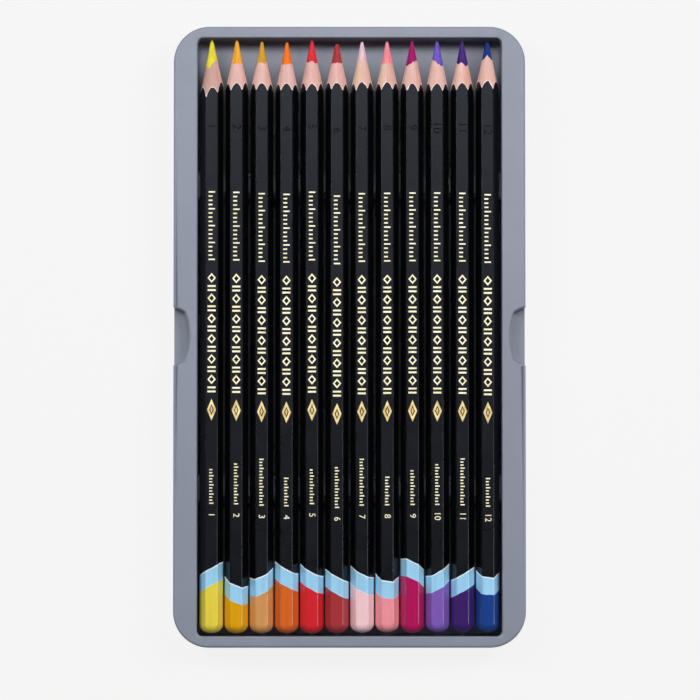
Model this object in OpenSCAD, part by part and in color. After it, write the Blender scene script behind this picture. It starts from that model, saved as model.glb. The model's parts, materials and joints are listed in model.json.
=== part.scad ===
// Colouring pencil tin, opened for use. The pressed-steel base stands in its own upturned lid,
// a moulded tray drops into the base, and a row of sharpened hexagonal pencils lies in the tray.
// Millimetres. X runs across the pencils, Y along them towards their points, and Z is up.
// The origin is the middle of the lid's outer panel, which the tin rests on.

/* [Pencils] */
// Length of a pencil from its point to its domed end
pencil_len = 176; // [140:1:190]
// Width across the flats of the lacquered barrel
barrel_flats = 6.05; // [5.5:0.05:7]
// How far each corner of the hexagon is rounded off
corner_round = 0.07; // [0.03:0.01:0.2]
// Thickness of the lacquer on the wooden casing
lacquer_t = 0.12; // [0.08:0.01:0.2]
// Diameter of the coloured core
core_d = 3.4; // [2.5:0.1:3.8]
// Free space between neighbouring pencils at their dipped ends
pencil_gap = 0.38; // [0.3:0.02:1]

/* [Points] */
// Full angle of the sharpened cone
point_angle = 23.4; // [20:0.2:28]
// Radius of the slightly blunt tip of the core
tip_r = 0.45; // [0.3:0.05:0.7]

/* [Dipped ends] */
// Thickness of the two dipped coats over the lacquer
dip_t = 0.1; // [0.08:0.01:0.15]
// Height of the dome that closes the barrel
dome_rise = 2; // [1:0.1:3]
// Width along the barrel of the pale band above the end colour
band_len = 5.2; // [3:0.1:8]
// Hairline between the band and the end colour
coat_line = 0.05; // [0.02:0.01:0.2]
// Tilt of the dipped edges from square across the barrel
dip_tilt = 30; // [0:1:35]

/* [Tray] */
// Wall thickness of the moulded tray
tray_t = 0.9; // [0.7:0.05:1.2]
// Depth of the well below the rim
well_depth = 10.5; // [9:0.1:13]
// Radius of the upright corners of the well
well_r = 1.7; // [1.4:0.1:4]
// Radius between the floor of the well and its walls
well_floor_r = 1.2; // [0.5:0.1:1.3]
// Free space beside the first and last pencil
side_gap = 0.65; // [0.4:0.05:2]
// Free space between the pencils' ends and the well
end_gap = 0.55; // [0.5:0.05:3]
// Width of the rim along each side
side_rim = 7.05; // [6.6:0.05:9]
// Width of the rim across each end
end_rim = 3.35; // [3.2:0.05:6]
// Corner radius of the rim
rim_r = 10.6; // [8:0.1:14]
// Rounding of the rim's outer edge
rim_edge_r = 0.7; // [0.3:0.05:0.7]
// Rounding of the rim's inner edge
mouth_edge_r = 0.6; // [0.3:0.05:0.7]

/* [Finger scoops] */
// Length of each scoop along the edge of the rim
scoop_len = 17.2; // [13:0.2:24]
// How far each scoop reaches in from the edge of the rim
scoop_reach = 4.7; // [4.2:0.1:5]
// Radius of the scoop's long inner wall
scoop_wall_r = 20; // [16:1:40]
// Lean of the scoop's end walls from square to the edge of the rim
scoop_lean = 11; // [5:1:20]
// Depth of the scoop's shelf below the rim
scoop_depth = 5; // [4.2:0.1:5.5]
// Radius between the scoop's shelf and its wall
scoop_floor_r = 1.2; // [0.5:0.1:1.3]
// Rounding of the scoop's upper edge
scoop_edge_r = 0.85; // [0.4:0.05:0.85]

/* [Pencil cradles] */
// Distance between the middles of the two cradle bars
cradle_span = 90; // [60:1:110]
// Width of a cradle bar along the pencils
cradle_w = 9; // [6:0.5:14]
// Rounding of a bar's upper edges
cradle_edge_r = 1.5; // [1:0.1:2]
// Radius of the rounded ridges between the pencils
ridge_r = 1.4; // [1.2:0.05:1.6]
// Height of a ridge above its bar
ridge_rise = 1; // [0.5:0.1:1.2]
// How far the flats of the barrels lie below the rim
pencil_drop = 0.25; // [0.1:0.05:2]
// Running clearance between the barrels and the bars
cradle_gap = 0.1; // [0.1:0.02:0.3]

/* [Steel tin] */
// Thickness of the tinplate
steel_t = 0.25; // [0.2:0.01:0.4]
// Radius of the pressed edge round the bottom of the base
press_r = 1.8; // [1:0.1:3]
// Diameter of the curl along the top of the base's wall
curl_d = 1.1; // [0.9:0.05:1.4]
// How far the lid's wall lies inside the edge of the tray's rim
lid_inset = 0.1; // [0.05:0.05:0.4]
// Gap under the tray's rim and under its scoops
seat_gap = 0.2; // [0.1:0.02:0.3]
// Gap between the base and the lid's hemmed edge
lid_gap = 0.3; // [0.27:0.01:0.5]
// Gap between the lid's edge and the undersides of the scoops
lid_drop = 0.4; // [0.3:0.05:1]
// Depth of the hem folded inside the lid's edge
hem_h = 2.2; // [1:0.1:2.5]
// Gap between a scoop's housing and the notch in the base
notch_gap = 0.3; // [0.2:0.05:0.6]
// Corner radius at the bottom of the notch
notch_r = 1.5; // [0.5:0.1:2.5]

/* [Hidden] */
$fn = 64;
// Margin by which a cutter passes the surface that it opens
over = 1;
// Share of a rounded edge's radius that its arc rises through
crisp = 0.94;

// One entry per pencil, from the -X side: colour of its core and of its dipped end
core_paint = ["#E6D73C", "#F5AA32", "#D7A032", "#FA781E", "#E63241", "#BE3C41",
              "#E1BEC8", "#FA8C96", "#AA146E", "#735AC8", "#4B2882", "#1E3C8C"];
dip_paint = ["#E1CD46", "#DCA014", "#D2965A", "#D26428", "#D22832", "#A5373C",
             "#F0C8CD", "#EB919B", "#AF195A", "#7D5AB4", "#3C2369", "#1E418C"];
// How far each pencil has slid along the well, towards the points
slid = [0.3, 0.25, 0.25, 0.25, 0.2, 0.3, 0.45, 0.55, 0.35, 0.55, 0.55, 0.55];
// How far each point is sharpened back from the full length
point_back = [0, 0.1, 0.5, 0.7, 0, 1.25, 0.7, 0.7, 0.4, 0.6, 0.7, 1.1];
// How far each pencil is rolled about its own axis, in degrees
rolled = [1.5, -1, 0.5, -1.5, 1, 0.5, -1.5, 0.5, 1.5, -1, -0.5, 1];
// Length of each dipped end, along the barrel's axis
dip_reach = [19.2, 15.5, 18, 19.5, 18.9, 17.2, 18.2, 17, 20.3, 18.5, 17.5, 18.1];
// Which way round the barrel each dipped edge climbs, in degrees from +X towards +Z
dip_turn = [5, 225, -40, 195, 205, 195, 205, 258, 150, -25, -10, 262];
// How far each core lies off its barrel's axis, across and up
core_off = [[-0.12, 0.05], [0.08, 0.1], [-0.14, 0], [0, 0.05], [0.02, -0.02], [-0.08, 0.05],
            [0.1, -0.1], [0, 0.08], [-0.2, 0], [0.2, 0.02], [0.06, 0.08], [0, -0.2]];

pencil_count = len(dip_paint);

// Barrel
lacquer_corner_r = barrel_flats / cos(30) / 2 - corner_round;
dip_corner_r = lacquer_corner_r + dip_t;
dome_r = (pow(dip_corner_r, 2) + pow(dome_rise, 2)) / (2 * dome_rise);
dome_z = pencil_len - dome_r;
half_angle = point_angle / 2;
cone_start_z = tip_r * (1 - sin(half_angle));
cone_start_r = tip_r * cos(half_angle);
cone_end_r = dip_corner_r + over;
cone_len = (cone_end_r - cone_start_r) / tan(half_angle);

// Row of pencils and the well that holds it
pitch = 2 * dip_corner_r + pencil_gap;
well_w = pitch * (pencil_count - 1) + 2 * dip_corner_r + 2 * side_gap;
well_l = pencil_len + 2 * end_gap;
tray_w = well_w + 2 * side_rim;
tray_l = well_l + 2 * end_rim;

// Outlines of the steel parts, each offset from the tray's rim
lid_w = tray_w - 2 * lid_inset;
lid_l = tray_l - 2 * lid_inset;
lid_r = rim_r - lid_inset;
lid_out = lid_gap + 2 * steel_t;
base_w = lid_w - 2 * lid_out;
base_l = lid_l - 2 * lid_out;
base_r = lid_r - lid_out;

// Heights, from the lid's outer panel upwards
base_z = steel_t;
tray_z = base_z + steel_t;
floor_z = tray_z + tray_t;
rim_z = floor_z + well_depth;
curl_z = rim_z - tray_t - seat_gap;
shelf_z = rim_z - scoop_depth;
lid_h = shelf_z - tray_t - lid_drop;
axis_z = rim_z - pencil_drop - barrel_flats / 2;
cradle_z = axis_z - barrel_flats / 2 - cradle_gap;

// Finger scoops: the round end walls lean over their length along the rim's edge
scoop_end_r = scoop_len / 2 / cos(scoop_lean);
scoop_end_out = scoop_len / 2 * tan(scoop_lean);

function pencil_x(i) = (i - (pencil_count - 1) / 2) * pitch;
function tag(i) = str("pencil_", i < 9 ? "0" : "", i + 1);

// ---- Shapes that several parts share ----

module rounded_rect(w, l, r) {
    square([w - 2 * r, l], center = true);
    square([w, l - 2 * r], center = true);
    for (x = [-1, 1], y = [-1, 1])
        translate([x * (w / 2 - r), y * (l / 2 - r)])
            circle(r);
}

module slab(w, l, r, z0, z1) {
    translate([0, 0, z0])
        linear_extrude(z1 - z0)
            rounded_rect(w, l, r);
}

// Carries a flat profile round a w by l rectangle with corner radius r. The profile's x is
// measured outwards from the corner centres, so x = r lies on the outline, and its y is height.
module carried_round(w, l, r) {
    for (k = [0 : 3]) {
        across = (k % 2 == 0 ? w : l) / 2 - r;
        along = (k % 2 == 0 ? l : w) / 2 - r;
        rotate([0, 0, 90 * k])
            translate([across, along, 0]) {
                rotate_extrude(angle = 90)
                    children();
                rotate([90, 0, 0])
                    linear_extrude(2 * along)
                        children();
            }
    }
}

// A solid block with a rounded lower edge of radius e, as a pressed or moulded dish has
module dish(w, l, r, e, z0, z1) {
    slab(w, l, r, z0 + e, z1);
    slab(w - 2 * e, l - 2 * e, r - e, z0, z0 + e);
    carried_round(w, l, r)
        translate([r - e, z0 + e])
            intersection() {
                circle(e);
                translate([0, -e])
                    square(e);
            }
}

// The hollow that rounds an edge over. It leaves the wall at x = 0 smoothly and meets the top
// face at y = 0 with a crisp edge, because its arc stops short of flat.
module edge_cove(e) {
    difference() {
        translate([-over, -crisp * e])
            square([over + e, crisp * e + over]);
        translate([e, -crisp * e])
            circle(e);
    }
}

// ---- Lid ----

module lid() {
    color("#8E93A3") {
        difference() {
            dish(lid_w, lid_l, lid_r, press_r + steel_t, 0, lid_h - steel_t);
            dish(lid_w - 2 * steel_t, lid_l - 2 * steel_t, lid_r - steel_t, press_r, steel_t, lid_h + over);
        }
        carried_round(lid_w, lid_l, lid_r) {
            translate([lid_r - 2 * steel_t, lid_h - hem_h])
                square([2 * steel_t, hem_h - steel_t]);
            translate([lid_r - steel_t, lid_h - steel_t])
                circle(steel_t);
        }
    }
}

// ---- Base ----

// Opening in the base's wall that a scoop's housing passes through
module notch() {
    half_w = scoop_len / 2 + tray_t + notch_gap;
    low_z = shelf_z - tray_t - seat_gap;
    high_z = rim_z + notch_r;
    for (s = [0, 180])
        rotate([0, 0, s])
            translate([base_w / 2 - curl_d - over, 0, (low_z + high_z) / 2])
                rotate([90, 0, 90])
                    linear_extrude(curl_d + 2 * over)
                        rounded_rect(2 * half_w, high_z - low_z, notch_r);
}

module base() {
    color("#9A9EAD")
        difference() {
            union() {
                difference() {
                    dish(base_w, base_l, base_r, press_r, base_z, curl_z - curl_d / 2);
                    dish(base_w - 2 * steel_t, base_l - 2 * steel_t, base_r - steel_t,
                         press_r - steel_t, tray_z, rim_z);
                }
                carried_round(base_w, base_l, base_r)
                    translate([base_r - curl_d / 2, curl_z - curl_d / 2])
                        difference() {
                            circle(curl_d / 2);
                            circle(curl_d / 2 - steel_t);
                        }
            }
            notch();
        }
}

// ---- Tray ----

// Half section of a scoop out to radius r, with its floor at z0 and a rounded inside corner
module scoop_section(r, z0, z1, inside_r) {
    low_z = z0 + crisp * inside_r;
    translate([0, low_z])
        square([r, z1 - low_z]);
    translate([0, z0])
        square([r - inside_r, low_z - z0]);
    intersection() {
        translate([r - inside_r, low_z])
            circle(inside_r);
        translate([0, z0])
            square([r, z1 - z0]);
    }
}

// A scoop's form: a wide round for its inner wall, cut to length by a tighter round for its ends.
// grow offsets the walls outwards, and edge_r above zero rounds the upper edge over.
module scoop_form(grow, z0, z1, inside_r, edge_r) {
    for (s = [0, 180])
        rotate([0, 0, s])
            intersection() {
                translate([scoop_reach - scoop_wall_r - tray_w / 2, 0, 0])
                    rotate_extrude()
                        scoop_edge(scoop_wall_r + grow, z0, z1, inside_r, edge_r);
                translate([-scoop_end_out - tray_w / 2, 0, 0])
                    rotate_extrude()
                        scoop_edge(scoop_end_r + grow, z0, z1, inside_r, edge_r);
            }
}

module scoop_edge(r, z0, z1, inside_r, edge_r) {
    scoop_section(r, z0, z1, inside_r);
    if (edge_r > 0)
        translate([r, rim_z])
            edge_cove(edge_r);
}

// The rim: a plate with its outer edge rounded over
module rim_plate() {
    translate([0, 0, rim_z])
        mirror([0, 0, 1])
            dish(tray_w, tray_l, rim_r, rim_edge_r, 0, tray_t);
}

// The shells of both scoops, which pass through the base's wall and end flush with the lid's
module scoop_housings() {
    intersection() {
        scoop_form(tray_t, shelf_z - tray_t, rim_z - tray_t / 2, scoop_floor_r + tray_t, 0);
        slab(lid_w, lid_l, lid_r, floor_z, rim_z);
    }
}

// A bar across the well, with rounded upper edges. inset shrinks it for its own hollow.
module cradle_bar(inset) {
    bar_w = cradle_w - 2 * inset;
    top_z = cradle_z - inset;
    edge = cradle_edge_r - inset;
    length = well_w + tray_t - 3 * inset;
    for (s = [-1, 1])
        translate([-length / 2, s * cradle_span / 2, tray_z])
            rotate([90, 0, 90])
                linear_extrude(length)
                    intersection() {
                        rounded_rect(bar_w, 2 * (top_z - tray_z), edge);
                        translate([-bar_w / 2, inset > 0 ? -over : 0])
                            square([bar_w, rim_z]);
                    }
}

// Low rounded ridges on the bars that keep the barrels apart
module ridges() {
    half_len = cradle_w / 2 - cradle_edge_r;
    for (s = [-1, 1], i = [0 : pencil_count - 2])
        translate([pencil_x(i + 0.5), s * cradle_span / 2, cradle_z + ridge_rise - ridge_r]) {
            rotate([90, 0, 0])
                cylinder(r = ridge_r, h = 2 * half_len - 2 * ridge_r, center = true);
            for (end = [-1, 1])
                translate([0, end * (half_len - ridge_r), 0])
                    sphere(ridge_r);
        }
}

module tray() {
    color("#969AAB")
        difference() {
            union() {
                difference() {
                    union() {
                        rim_plate();
                        dish(well_w + 2 * tray_t, well_l + 2 * tray_t, well_r + tray_t,
                             well_floor_r + tray_t, tray_z, rim_z - tray_t / 2);
                        scoop_housings();
                    }
                    dish(well_w, well_l, well_r, well_floor_r, floor_z, rim_z + over);
                    carried_round(well_w, well_l, well_r)
                        translate([well_r, rim_z])
                            edge_cove(mouth_edge_r);
                    scoop_form(0, shelf_z, rim_z + over, scoop_floor_r, scoop_edge_r);
                }
                cradle_bar(0);
                ridges();
            }
            cradle_bar(tray_t);
        }
}

// ---- Pencils ----
// Each is modelled standing on its point, with z along the barrel, x across and y up when laid.

// A domed hexagonal bar, larger than the lacquered barrel by grow all over
module stock(grow) {
    end_r = dome_r - dip_t + grow;
    intersection() {
        cylinder(d = (barrel_flats + 2 * grow) / cos(30), h = pencil_len + over, $fn = 6);
        cylinder(r = lacquer_corner_r + grow, h = pencil_len + over);
        union() {
            cylinder(r = end_r, h = dome_z);
            translate([0, 0, dome_z])
                sphere(end_r);
        }
    }
}

// Everything that the sharpener leaves of pencil i: a cone with a blunt tip that opens past the
// barrel
module sharpened(i) {
    translate([0, 0, point_back[i]]) {
        translate([0, 0, tip_r])
            sphere(tip_r);
        translate([0, 0, cone_start_z])
            cylinder(r1 = cone_start_r, r2 = cone_end_r, h = cone_len);
        translate([0, 0, cone_start_z + cone_len])
            cylinder(r = cone_end_r, h = pencil_len);
    }
}

// The space behind a dipped edge that starts at z0 on the axis and is tilted for pencil i
module behind_edge(i, z0) {
    translate([0, 0, z0])
        rotate([0, 0, dip_turn[i]])
            rotate([0, dip_tilt, 0])
                cylinder(r = 3 * cone_end_r, h = pencil_len);
}

module bore(i) {
    translate([core_off[i][0], core_off[i][1], 0])
        cylinder(d = core_d, h = pencil_len);
}

module casing(i) {
    color("#EBBEB4")
        difference() {
            intersection() {
                stock(-lacquer_t);
                sharpened(i);
            }
            bore(i);
        }
}

module core(i) {
    color(core_paint[i])
        intersection() {
            bore(i);
            stock(-lacquer_t);
            sharpened(i);
        }
}

module lacquer(i) {
    color("#1E1F26")
        difference() {
            intersection() {
                stock(0);
                sharpened(i);
            }
            stock(-lacquer_t);
        }
}

// The pale band and the end colour: two coats with parallel tilted edges, closed over the dome
module dip(i) {
    band_z = pencil_len - dip_reach[i];
    end_z = band_z + band_len;
    color("#8CC8E6")
        difference() {
            intersection() {
                stock(dip_t);
                behind_edge(i, band_z);
            }
            stock(0);
            behind_edge(i, end_z - coat_line);
        }
    color(dip_paint[i])
        difference() {
            intersection() {
                stock(dip_t);
                behind_edge(i, end_z);
            }
            stock(0);
        }
}

// Lays a pencil in its place in the row, on the cradles
module laid(i) {
    translate([pencil_x(i), pencil_len / 2 + slid[i], axis_z])
        rotate([0, rolled[i], 0])
            rotate([90, 0, 0])
                children();
}

lid();
base();
tray();
for (i = [0 : pencil_count - 1]) {
    laid(i) casing(i);
    laid(i) core(i);
    laid(i) lacquer(i);
    laid(i) dip(i);
}
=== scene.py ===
"""The looks of a tin of colored pencils, dressed over its packed construction.

The steel lid and base and the moulded tray keep their own shapes, with fine painted and moulded
finishes. Each pencil is built anew from closed surfaces round one axis: a core and a cedar casing
cut by the same sharpened cone, a pale undercoat and a black lacquer over six flats, a pale band
and an end colour with tilted edges, and foil motifs on the upper flat.

Sizes are in millimetres and become metres when a mesh is made. A pencil is worked out in its own
frame: x across, y up as it lies in the tray, z along the barrel from the point to the domed end.
"""
import json
import logging
import math
from abc import ABC, abstractmethod
from dataclasses import dataclass
from enum import Enum

import bmesh
import bpy
import numpy as np
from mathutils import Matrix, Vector

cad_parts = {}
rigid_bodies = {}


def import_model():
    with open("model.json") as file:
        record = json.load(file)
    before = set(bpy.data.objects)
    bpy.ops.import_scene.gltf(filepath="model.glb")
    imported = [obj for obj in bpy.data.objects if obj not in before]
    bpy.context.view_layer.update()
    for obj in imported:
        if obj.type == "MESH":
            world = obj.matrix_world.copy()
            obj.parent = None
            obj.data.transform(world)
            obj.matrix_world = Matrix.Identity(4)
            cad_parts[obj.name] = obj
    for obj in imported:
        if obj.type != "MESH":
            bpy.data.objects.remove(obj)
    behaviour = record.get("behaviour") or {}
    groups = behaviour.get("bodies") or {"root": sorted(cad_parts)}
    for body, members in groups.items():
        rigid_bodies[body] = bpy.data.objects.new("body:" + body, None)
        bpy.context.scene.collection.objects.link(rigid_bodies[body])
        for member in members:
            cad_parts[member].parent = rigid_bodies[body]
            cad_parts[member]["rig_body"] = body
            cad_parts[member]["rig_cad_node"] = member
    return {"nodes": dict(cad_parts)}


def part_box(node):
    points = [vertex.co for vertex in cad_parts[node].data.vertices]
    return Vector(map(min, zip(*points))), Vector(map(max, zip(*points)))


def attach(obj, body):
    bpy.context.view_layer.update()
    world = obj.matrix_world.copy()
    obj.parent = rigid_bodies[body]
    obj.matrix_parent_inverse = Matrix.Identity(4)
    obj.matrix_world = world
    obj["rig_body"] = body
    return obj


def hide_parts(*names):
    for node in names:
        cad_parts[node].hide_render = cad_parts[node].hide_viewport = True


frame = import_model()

MM = 0.001
FULL_TURN = 2 * math.pi
MERGE_MM = 0.002

log = logging.getLogger("pencil_tin")

Array = np.ndarray
Socket = bpy.types.NodeSocket
Material = bpy.types.Material
Colour = tuple[float, float, float, float]
Faces = list[tuple[int, ...]]
Rings = tuple[Array, Array | float]
Marks = tuple[tuple[float, float, float], ...]


def linear(code: str, factor: float = 1.0, lift: float = 0.0) -> Colour:
    """Turns a display colour into a scene colour.

    Args:
        code: A colour as six hexadecimal digits after a hash sign.
        factor: What its light is multiplied by.
        lift: What is added to it then.

    Returns:
        Linear red, green and blue, held at one, and an alpha of one.
    """
    shown = [int(code[k:k + 2], 16) / 255 for k in (1, 3, 5)]
    light = [v / 12.92 if v <= 0.04045 else ((v + 0.055) / 1.055) ** 2.4 for v in shown]
    red, green, blue = (min(1.0, factor * v + lift) for v in light)
    return (red, green, blue, 1.0)


# ---- Meshes from grids of points ----


class Ends(Enum):
    """How a grid of rings is closed along its rows."""

    CAPPED = "a flat cap on the first and the last ring"
    LOOPED = "the last ring joins the first one again"


def ring_faces(rows: int, cols: int, ends: Ends) -> Faces:
    """Lists the faces of a closed skin over a grid of rings.

    A face joins points (i, j), (i, j + 1), (i + 1, j + 1) and (i + 1, j), with j running round
    each ring, so it looks outwards where the rings advance along +z.

    Args:
        rows: Number of rings.
        cols: Number of points on each ring.
        ends: How the skin is closed along the rows.

    Returns:
        The faces as tuples of point numbers.
    """
    last = rows if ends is Ends.LOOPED else rows - 1
    i, j = np.meshgrid(np.arange(last), np.arange(cols), indexing="ij")
    down = (i + 1) % rows
    side = (j + 1) % cols
    quads = np.stack([i * cols + j, i * cols + side, down * cols + side, down * cols + j], axis=-1)
    faces = [tuple(quad) for quad in quads.reshape(-1, 4).tolist()]
    if ends is Ends.CAPPED:
        faces.append(tuple(range(cols - 1, -1, -1)))
        faces.append(tuple(range((rows - 1) * cols, rows * cols)))
    return faces


def make_piece(name: str, points: Array, faces: Faces, crease: float,
               behind: Array | None = None) -> bpy.types.Object:
    """Makes a smooth-shaded mesh object that sits at the origin.

    Args:
        name: Name of the object and its mesh.
        points: Points in millimetres, shape (count, 3).
        faces: Faces as tuples of point numbers.
        crease: Angle in degrees past which an edge is shaded sharp.
        behind: Distance of each point behind a coat's edge, in millimetres, if a finish needs it.

    Returns:
        The new object.
    """
    mesh = bpy.data.meshes.new(name)
    mesh.from_pydata((points * MM).tolist(), [], faces)
    if behind is not None:
        layer = mesh.attributes.new("behind_edge", "FLOAT", "POINT")
        layer.data.foreach_set("value", behind.astype(np.float32))
    mesh.validate()
    mesh.shade_smooth()
    mesh.set_sharp_from_angle(angle=math.radians(crease))
    piece = bpy.data.objects.new(name, mesh)
    bpy.context.scene.collection.objects.link(piece)
    return piece


@dataclass(frozen=True)
class Wave:
    """A smooth unevenness round a ring.

    It is a sum of whole-numbered cosines of the turn, with seeded phases and weights that fall
    with the number of waves, so it closes on itself.
    """

    seed: int
    least: int
    most: int
    reach: float
    fullness: float = 1.6

    def over(self, turn: Array, number: int) -> Array:
        """The unevenness on one pencil.

        Args:
            turn: Angles round the ring, in radians.
            number: The pencil's number, which is added to the seed.

        Returns:
            One value per angle, between about minus and plus reach.
        """
        dice = np.random.default_rng(self.seed + number)
        counts = np.arange(self.least, self.most + 1)
        phases = dice.uniform(0, FULL_TURN, counts.size)
        weights = dice.uniform(0.4, 1.0, counts.size) / np.sqrt(counts)
        total = (weights * np.cos(np.outer(turn, counts) + phases)).sum(axis=1)
        return self.reach * total / weights.sum() * self.fullness


def bumps(turn: Array, marks: Marks) -> Array:
    """Single swellings round a ring.

    Each is its depth times the bell exp(-(gap / width) ** 2), where the gap is the angle from
    the mark's turn, taken the short way round.

    Args:
        turn: Angles round the ring, in radians.
        marks: Turn and width in degrees and depth, for each swelling.

    Returns:
        The sum of the swellings per angle.
    """
    total = np.zeros_like(turn)
    for middle, width, depth in marks:
        gap = (np.degrees(turn) - middle + 180) % 360 - 180
        total += depth * np.exp(-(gap / width) ** 2)
    return total


# ---- Shader trees ----


class Tree:
    """A shader tree that is being written."""

    def __init__(self, tree: bpy.types.NodeTree) -> None:
        """Wraps the tree."""
        self.tree = tree

    def join(self, value: object, socket: Socket) -> None:
        """Links or sets an input.

        Args:
            value: Another socket to link, or a value or colour code to hold.
            socket: The input.
        """
        if isinstance(value, Socket):
            self.tree.links.new(value, socket)
        else:
            socket.default_value = linear(value) if isinstance(value, str) else value

    def add(self, kind: str, values: dict[str | int, object] | None = None,
            **settings: object) -> bpy.types.Node:
        """Adds a node.

        Args:
            kind: The node's type.
            values: What each input holds, by the socket's name or number; a socket links instead.
            settings: Properties of the node itself.

        Returns:
            The new node.
        """
        node = self.tree.nodes.new(kind)
        for key, value in settings.items():
            setattr(node, key, value)
        for key, value in (values or {}).items():
            self.join(value, node.inputs[key])
        return node

    def math(self, operation: str, a: object, b: object = 0.0) -> Socket:
        """Adds a math node and returns its value."""
        return self.add("ShaderNodeMath", {0: a, 1: b}, operation=operation).outputs["Value"]

    def mix(self, factor: object, a: object, b: object) -> Socket:
        """Mixes two colours and returns the result."""
        return self.add("ShaderNodeMix", {0: factor, 6: a, 7: b}, data_type="RGBA").outputs[2]

    def ramp(self, value: Socket, low: float, high: float, to_low: float, to_high: float,
             shape: str = "LINEAR") -> Socket:
        """Maps a value from one range to another, held at its ends.

        Args:
            value: The value to map.
            low: Where the range starts.
            high: Where the range ends.
            to_low: Result at the start.
            to_high: Result at the end.
            shape: LINEAR or SMOOTHSTEP.

        Returns:
            The mapped value.
        """
        ranges = {"Value": value, "From Min": low, "From Max": high, "To Min": to_low, "To Max": to_high}
        return self.add("ShaderNodeMapRange", ranges, interpolation_type=shape).outputs["Result"]


class Effect(Tree):
    """A node group that works out one value from a place and a few numbers."""

    def __init__(self, name: str, **numbers: float) -> None:
        """Starts the group.

        Args:
            name: Name of the group.
            numbers: Its number inputs, and what they hold until they are set.
        """
        super().__init__(bpy.data.node_groups.new(name, "ShaderNodeTree"))
        sockets = self.tree.interface
        sockets.new_socket("Place", in_out="INPUT", socket_type="NodeSocketVector")
        for label, default in numbers.items():
            socket = sockets.new_socket(label, in_out="INPUT", socket_type="NodeSocketFloat")
            socket.default_value = default
        sockets.new_socket("Value", in_out="OUTPUT", socket_type="NodeSocketFloat")
        self.given = self.tree.nodes.new("NodeGroupInput").outputs

    def finish(self, value: Socket) -> bpy.types.NodeTree:
        """Makes a value the group's result and returns the group."""
        self.join(value, self.tree.nodes.new("NodeGroupOutput").inputs["Value"])
        return self.tree


def streaks_effect() -> bpy.types.NodeTree:
    """Fine lines along Y: noise squeezed across and drawn out along the length.

    Returns:
        The group.
    """
    made = Effect("streaks along the length", Across=4.0, Along=0.1, Seed=0.0)
    across = made.math("MULTIPLY", made.given["Across"], 1 / MM)
    along = made.math("MULTIPLY", made.given["Along"], 1 / MM)
    scale = made.add("ShaderNodeCombineXYZ", {"X": across, "Y": along, "Z": across}).outputs[0]
    place = made.add("ShaderNodeVectorMath", {0: made.given["Place"], 1: scale}, operation="MULTIPLY")
    noise = made.add("ShaderNodeTexNoise", {"Vector": place.outputs[0], "W": made.given["Seed"],
                                            "Scale": 1.0, "Detail": 3.0, "Roughness": 0.6},
                     noise_dimensions="4D")
    return made.finish(made.ramp(noise.outputs["Fac"], 0.3, 0.7, 0, 1))


def specks_effect() -> bpy.types.NodeTree:
    """Scattered small dots: the near parts of a cell pattern, thinned out by a noise.

    Returns:
        The group.
    """
    made = Effect("scattered specks", Size=0.3, Share=0.3)
    place = made.given["Place"]
    scale = made.math("DIVIDE", 1 / MM, made.given["Size"])
    cells = made.add("ShaderNodeTexVoronoi", {"Vector": place, "Scale": scale})
    dots = made.ramp(cells.outputs["Distance"], 0.12, 0.3, 1, 0)
    pick = made.add("ShaderNodeTexNoise", {"Vector": place, "Scale": made.math("MULTIPLY", scale, 0.4)})
    limit = made.ramp(made.math("SUBTRACT", 1.0, made.given["Share"]), 0, 1, 0.25, 0.75)
    kept = made.math("GREATER_THAN", pick.outputs["Fac"], limit)
    return made.finish(made.math("MULTIPLY", dots, kept))


def clouds_effect() -> bpy.types.NodeTree:
    """Broad soft unevenness between two values, as handling leaves on a satin surface.

    Returns:
        The group.
    """
    made = Effect("soft clouds", Size=20.0, Low=0.3, High=0.4)
    low = made.given["Low"]
    scale = made.math("DIVIDE", 1 / MM, made.given["Size"])
    noise = made.add("ShaderNodeTexNoise", {"Vector": made.given["Place"], "Scale": scale, "Detail": 4.0,
                                            "Roughness": 0.55, "Distortion": 0.4})
    share = made.ramp(noise.outputs["Fac"], 0.32, 0.68, 0, 1, "SMOOTHSTEP")
    span = made.math("SUBTRACT", made.given["High"], low)
    return made.finish(made.math("ADD", low, made.math("MULTIPLY", share, span)))


STREAKS = streaks_effect()
SPECKS = specks_effect()
CLOUDS = clouds_effect()


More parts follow.
